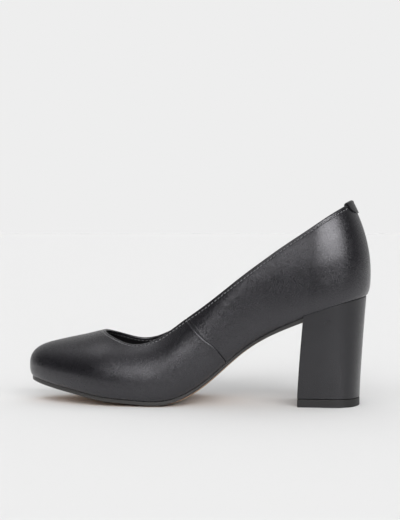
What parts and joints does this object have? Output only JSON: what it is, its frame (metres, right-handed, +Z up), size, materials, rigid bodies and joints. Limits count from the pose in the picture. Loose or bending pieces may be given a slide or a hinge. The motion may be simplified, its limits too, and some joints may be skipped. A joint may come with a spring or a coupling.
{
  "type": "block heel pump",
  "caption": "Slip-on court shoe with a rounded toe, low-cut open collar, closed heel cup, arched waist and a covered block heel; worn on a right foot.",
  "frame": {"origin": "middle of the footprint box, on the floor plane that the forefoot and the heel stand on", "axes": "+X from toe to heel, +Y to the little-toe side of this right shoe, +Z up"},
  "size_m": [0.235, 0.0834, 0.1374],
  "materials": {
    "upper_leather": "smooth black leather, semi-gloss, fine grain",
    "tab_leather": "smooth black leather, semi-gloss",
    "sock_leather": "soft black lining leather, matte",
    "sole_leather": "tan sole leather with a blacked edge, satin",
    "heel_cover": "black leather cover on a moulded heel, slightly more matte than the upper",
    "top_piece_rubber": "matte black"
  },
  "bodies": {
    "root": {"upper": "upper_leather", "heel_tab": "tab_leather", "insole": "sock_leather", "outsole": "sole_leather", "heel": "heel_cover", "top_piece": "top_piece_rubber"}
  },
  "joints": []
}
